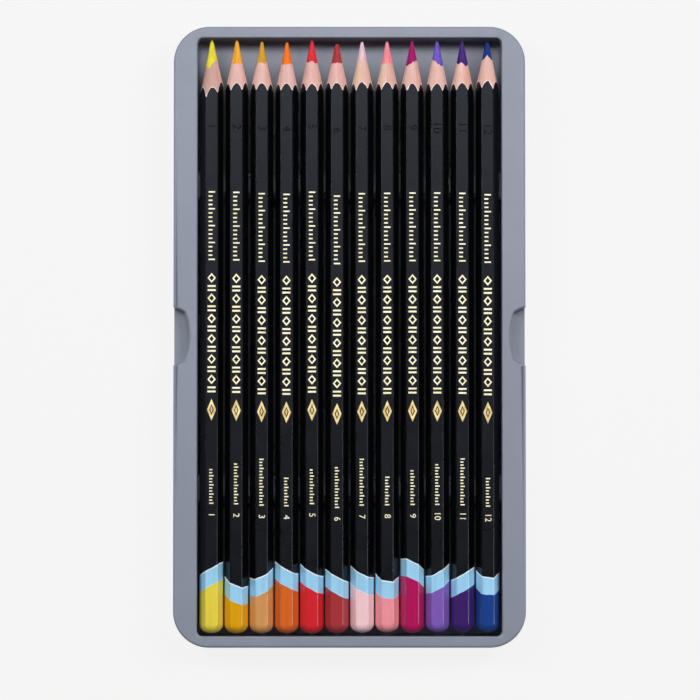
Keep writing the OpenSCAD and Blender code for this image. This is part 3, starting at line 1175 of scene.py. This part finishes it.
    def build_dip(self, band: Material) -> None:
        """The dipped end: a pale band, and an end colour that closes over the dome.

        Args:
            band: Material of the pale band.
        """
        s = self.sizes
        slot = f"dip_{self.number:02d}"
        band_z = self.length - self.traits.dip_reach
        end_z = band_z + s.band_len
        lip, lip_z = self.beaded(band_z, s.band_t, BAND_EDGE)
        under = self.outline(s.band_gap)
        stop_z = self.dip_edge(under, end_z) + s.band_tuck
        rings = [(lip, lip_z), (self.outline(s.band_t), stop_z), (under, stop_z), (under, lip_z[0])]
        strip = self.skin("band", rings, Ends.LOOPED, crease=60, edge=lip_z[0])
        self.dress(strip, band, slot, f"{self.body}_dip")
        edge, edge_z = self.beaded(end_z, s.dip_t, END_EDGE)
        within, within_z = self.dome(s.dip_gap, COUNTS.inner_dome)
        rings = [(within[::-1], within_z[::-1]), (self.outline(s.dip_gap), edge_z[0]), (edge, edge_z),
                 self.dome(s.dip_t, COUNTS.dip_dome)]
        end = self.skin("end_colour", rings, Ends.CAPPED, crease=60, edge=edge_z[0])
        finish = Lacquer(slot, self.traits.end, seed=self.number * 2.3, lip=self.traits.end)
        self.dress(end, finish.material(), slot, f"{self.body}_dip")

    def build(self, shared: dict[str, Material]) -> None:
        """Builds and dresses the whole pencil.

        Args:
            shared: The materials that all the pencils share, by name.
        """
        self.build_core()
        self.build_casing()
        self.build_coats(shared["undercoat"], shared["black"])
        self.build_dip(shared["band"])
        log.info("%s is built", self.body)


# ---- Foil motifs and numbers, drawn flat as points (along, across) ----


@dataclass(frozen=True)
class Drawing:
    """Flat outlines: points, and faces over them that run counter-clockwise."""

    points: Array
    faces: Faces


def lozenge(along: float, length: float, width: float) -> Array:
    """Corners of a lozenge centred on the flat."""
    return np.array([[-length / 2, 0], [0, -width / 2], [length / 2, 0], [0, width / 2]]) + [along, 0]


def bar(along: float, across: float, length: float, width: float) -> Array:
    """Corners of an upright bar centred at a place."""
    return np.array([[-1, -1], [1, -1], [1, 1], [-1, 1]]) * [length / 2, width / 2] + [along, across]


def ring(along: float, length: float, width: float, stroke: float) -> list[Array]:
    """An open lozenge, as four strokes that meet at its corners.

    Args:
        along: Place of its middle.
        length: Length over its points.
        width: Width over its points.
        stroke: Width of a stroke, measured along the flat.

    Returns:
        The outlines of the four strokes.
    """
    outer = lozenge(along, length, width)
    inner = lozenge(along, length - 2 * stroke, width - 2 * stroke * width / length)
    return [np.array([outer[k - 1], outer[k], inner[k], inner[k - 1]]) for k in range(4)]


@dataclass(frozen=True)
class Comb:
    """Upright bars that stand on one line, with a tall one every few bars."""

    start: float
    step: float
    every: int
    tall: float
    short: float
    width: float

    def bars(self, count: int) -> list[Array]:
        """Draws the bars.

        Args:
            count: How many.

        Returns:
            Their outlines.
        """
        heights = [self.tall if k % self.every == 0 else self.short for k in range(count)]
        return [bar(self.start + self.step * k, (height - self.tall) / 2, self.width, height)
                for k, height in enumerate(heights)]


def digits(number: int, along: float, size: float) -> Drawing:
    """A plain number.

    Args:
        number: The number.
        along: Place of its middle.
        size: Height of its digits, in millimetres.

    Returns:
        The drawing.
    """
    type_size_per_height = 1.38
    curve = bpy.data.curves.new("digits", "FONT")
    curve.body = str(number)
    curve.size = size * type_size_per_height
    curve.align_x = "CENTER"
    curve.align_y = "CENTER"
    curve.resolution_u = 4
    holder = bpy.data.objects.new("digits", curve)
    bpy.context.scene.collection.objects.link(holder)
    bpy.context.view_layer.update()
    mesh = holder.to_mesh()
    points = np.zeros(len(mesh.vertices) * 3)
    mesh.vertices.foreach_get("co", points)
    faces = [tuple(face.vertices) for face in mesh.polygons]
    holder.to_mesh_clear()
    bpy.data.objects.remove(holder)
    bpy.data.curves.remove(curve)
    return Drawing(points.reshape(-1, 3)[:, :2] + [along, 0], faces)


@dataclass(frozen=True)
class Stamp:
    """What is stamped on a pencil's upper flat, in millimetres from its point.

    In pale foil: a scale of ticks, a chain of lozenges and pairs of bars, a row of hatches whose
    length depends on the pencil, and its number. In deep foil: one larger lozenge. Without foil:
    the number once more.
    """

    foil_z: tuple[float, float] = (0.004, 0.016)
    blind_z: tuple[float, float] = (0.002, 0.006)
    scale: Comb = Comb(45.5, 1.25, 4, 1.9, 1.15, 0.42)
    ticks: int = 17
    hatching: Comb = Comb(137.6, -0.9, 3, 1.3, 0.9, 0.36)
    least_hatches: int = 10
    more_hatches: int = 2
    chain_start: float = 71.0
    chain_step: float = 3.0
    links: int = 12
    link_size: tuple[float, float, float] = (2.9, 2.5, 0.62)
    pair_gap: float = 1.2
    pair_size: tuple[float, float] = (0.55, 2.4)
    sign_at: float = 110.0
    sign_size: tuple[float, float, float] = (6.4, 2.7, 1.6)
    sign_heart: tuple[float, float] = (2.0, 0.7)
    number_at: float = 141.0
    number_size: float = 1.9
    blind_at: float = 26.0
    blind_size: float = 2.6

    def pale(self, number: int) -> list[Array]:
        """Draws the scale, the chain and the hatches.

        Args:
            number: The pencil's number, which sets how many hatches there are.

        Returns:
            The outlines in pale foil.
        """
        found = self.scale.bars(self.ticks)
        for k in range(self.links):
            middle = self.chain_start + k * self.chain_step
            if k % 2:
                found += [bar(middle + side * self.pair_gap / 2, 0, *self.pair_size) for side in (-1, 1)]
            else:
                found += ring(middle, *self.link_size)
        return found + self.hatching.bars(self.least_hatches + self.more_hatches * (number % 4))

    def deep(self) -> list[Array]:
        """Outlines in deep foil: an open lozenge with a small one in it."""
        return ring(self.sign_at, *self.sign_size) + [lozenge(self.sign_at, *self.sign_heart)]

    def press(self, pencil: Pencil, finishes: dict[str, Material]) -> None:
        """Puts all marks on a pencil.

        Args:
            pencil: The pencil.
            finishes: Materials of the marks, by name.
        """
        foiled = digits(pencil.number, self.number_at, self.number_size)
        blind = digits(pencil.number, self.blind_at, self.blind_size)
        marks = {"pale_foil": (joined(self.pale(pencil.number), foiled), self.foil_z),
                 "deep_foil": (joined(self.deep()), self.foil_z), "blind_stamp": (blind, self.blind_z)}
        top = pencil.sizes.flats / 2
        for name, (drawing, (low, high)) in marks.items():
            points, faces = plates(drawing, top + low, top + high)
            placed = pencil.place(points[:, :2], points[:, 2])
            piece = make_piece(f"{pencil.body}_{name}", placed, faces, crease=20)
            pencil.dress(piece, finishes[name], "barrel_lacquer")


def joined(outlines: list[Array], *drawings: Drawing) -> Drawing:
    """Joins single outlines and drawings into one drawing.

    Args:
        outlines: Corners of single outlines.
        drawings: Drawings that follow them.

    Returns:
        The drawing.
    """
    parts = [Drawing(corners, [tuple(range(len(corners)))]) for corners in outlines] + list(drawings)
    starts = np.cumsum([0] + [len(part.points) for part in parts])
    faces = [tuple(int(start) + k for k in face)
             for start, part in zip(starts, parts) for face in part.faces]
    return Drawing(np.concatenate([part.points for part in parts]), faces)


def plates(drawing: Drawing, low: float, high: float) -> tuple[Array, Faces]:
    """Thin closed plates over a drawing.

    An edge that only one face of the drawing has gets a wall.

    Args:
        drawing: The flat outlines.
        low: Height of the plates' back above the pencil's axis.
        high: Height of their face.

    Returns:
        Points (across, up, along) of the face and then the back, and faces.
    """
    count = len(drawing.points)
    along, across = drawing.points.T
    points = np.concatenate([np.column_stack([across, np.full(count, up), along]) for up in (high, low)])
    back = [tuple(count + k for k in reversed(face)) for face in drawing.faces]
    edges = {(face[k - 1], face[k]) for face in drawing.faces for k in range(len(face))}
    walls = [(b, a, count + a, count + b) for a, b in sorted(edges) if (b, a) not in edges]
    return points, drawing.faces + back + walls


# ---- Studio ----


class Job(Enum):
    """What a lamp is there for."""

    BOTH = "lights colours and draws highlights"
    FILL = "lights colours alone"
    GLINT = "draws highlights alone"


@dataclass(frozen=True)
class Lamp:
    """One rectangular soft lamp that faces the middle of the tin, in metres and watts.

    A lamp that only glints draws highlights on gloss without filling the gaps between the
    pencils, and one that never glints lights colours without silvering edges.
    """

    name: str
    place: tuple[float, float, float]
    width: float
    height: float
    power: float
    colour: tuple[float, float, float]
    job: Job = Job.BOTH

    def build(self) -> None:
        """Makes the lamp and turns it towards the tin."""
        light = bpy.data.lights.new(self.name, "AREA")
        light.shape = "RECTANGLE"
        light.size = self.width
        light.size_y = self.height
        light.energy = self.power
        light.color = self.colour
        holder = bpy.data.objects.new(self.name, light)
        holder.location = self.place
        holder.rotation_euler = (-Vector(self.place)).to_track_quat("-Z", "Y").to_euler()
        holder.visible_diffuse = self.job is not Job.GLINT
        holder.visible_glossy = self.job is not Job.FILL
        holder.visible_camera = False
        bpy.context.scene.collection.objects.link(holder)


WARM = (1.0, 0.985, 0.97)
COOL = (0.96, 0.98, 1.0)
COOLER = (0.95, 0.975, 1.0)

LAMPS = (
    Lamp("left_key", (-0.507, 0.273, 0.65), 0.195, 0.403, 3.95, WARM, Job.FILL),
    Lamp("right_key", (0.507, 0.273, 0.65), 0.195, 0.403, 5.0, WARM, Job.FILL),
    Lamp("overhead", (0.0, 0.322, 0.89), 0.84, 0.21, 1.95, COOL),
    Lamp("overhead_glint", (0.0, 0.322, 0.89), 0.84, 0.21, 4.6, COOL, Job.GLINT),
    Lamp("left_glint", (-1.0, 0.3, 0.62), 0.36, 0.16, 2.6, COOLER, Job.GLINT),
    Lamp("right_glint", (1.0, -0.2, 0.62), 0.4, 0.22, 4.0, COOLER, Job.GLINT),
)


@dataclass(frozen=True)
class Studio:
    """A plain pale floor, soft lamps, and a camera almost straight above.

    The camera's lengths are in millimetres and the floor's size is in metres.
    """

    target: tuple[float, float] = (0.15, -4.06)
    distance: float = 1400.0
    elevation: float = 87.5
    frame_width: float = 206.85
    sensor_width: float = 36.0
    floor_size: float = 6.0
    floor_glow: float = 0.865
    floor_tone: float = 0.05
    sky_tone: Colour = (0.97, 0.98, 1.0, 1.0)
    sky_shown: float = 0.91
    sky_fill: float = 0.015

    def build(self) -> None:
        """Makes the floor, the surround, the lamps and the camera."""
        self.floor()
        self.world()
        for lamp in LAMPS:
            lamp.build()
        self.camera()

    def floor(self) -> None:
        """A wide flat floor that glows almost white and keeps the object's faint shadow."""
        half = self.floor_size / 2
        corners = [(-half, -half, 0), (half, -half, 0), (half, half, 0), (-half, half, 0)]
        mesh = bpy.data.meshes.new("floor")
        mesh.from_pydata(corners, [], [(0, 1, 2, 3)])
        floor = bpy.data.objects.new("floor", mesh)
        bpy.context.scene.collection.objects.link(floor)
        material = bpy.data.materials.new("floor")
        material.use_nodes = True
        material.node_tree.nodes.clear()
        tree = Tree(material.node_tree)
        tone = (self.floor_tone, self.floor_tone, self.floor_tone, 1)
        glow = tree.add("ShaderNodeEmission", {"Color": (1, 1, 1, 1), "Strength": self.floor_glow})
        matte = tree.add("ShaderNodeBsdfDiffuse", {"Color": tone})
        both = tree.add("ShaderNodeAddShader", {0: glow.outputs[0], 1: matte.outputs[0]})
        tree.add("ShaderNodeOutputMaterial", {"Surface": both.outputs[0]})
        mesh.materials.append(material)

    def world(self) -> None:
        """A dim even surround that shows white behind the floor."""
        world = bpy.data.worlds.new("surround")
        world.use_nodes = True
        bpy.context.scene.world = world
        tree = Tree(world.node_tree)
        back = world.node_tree.nodes["Background"].inputs
        seen = tree.add("ShaderNodeLightPath").outputs["Is Camera Ray"]
        tree.join(self.sky_tone, back["Color"])
        tree.join(tree.ramp(seen, 0, 1, self.sky_fill, self.sky_shown), back["Strength"])

    def camera(self) -> None:
        """A long lens above the tin, tipped a little towards its near end."""
        view = bpy.data.cameras.new("camera")
        view.sensor_width = self.sensor_width
        view.lens = self.sensor_width * self.distance / self.frame_width
        holder = bpy.data.objects.new("camera", view)
        rise = math.radians(self.elevation)
        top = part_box("tray")[1][2]
        target = Vector((self.target[0] * MM, self.target[1] * MM, top))
        back = Vector((0, -math.cos(rise), math.sin(rise))) * self.distance * MM
        holder.location = target + back
        holder.rotation_euler = (-back).to_track_quat("-Z", "Y").to_euler()
        bpy.context.scene.collection.objects.link(holder)
        bpy.context.scene.camera = holder
        bpy.context.scene.view_settings.view_transform = "Standard"


COATS = {
    "undercoat": Undercoat("undercoat"),
    "black": Lacquer("black_lacquer", "#030304", seed=1.0, rough_low=0.27, rough_high=0.31, flow=0.02,
                     tint="#E4EAFF", dust=0.0),
    # The band's near-white lip colour is a painted highlight along its beaded top edge.
    "band": Lacquer("pale_band", "#A1D8F9", seed=4.0, lip="#E8F7FF", lip_width=0.5),
}
MARKS = {
    "pale_foil": GoldFoil("gold_foil"),
    "deep_foil": GoldFoil("deep_gold_foil", "#F6E4A4", "#D2B168"),
    "blind_stamp": DullBlack("blind_stamp"),
}


def main() -> None:
    """Builds the studio, the tin, the tray and the row of pencils."""
    logging.basicConfig(level=logging.INFO, format="%(name)s: %(message)s")
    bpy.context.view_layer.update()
    Studio().build()
    SteelTin().build()
    MouldedTray().build()
    coats = {part: finish.material() for part, finish in COATS.items()}
    marks = {mark: finish.material() for mark, finish in MARKS.items()}
    for number, traits in enumerate(ROW, start=1):
        pencil = Pencil(number, traits, BarrelSizes())
        pencil.build(coats)
        Stamp().press(pencil, marks)


if __name__ == "__main__":
    main()
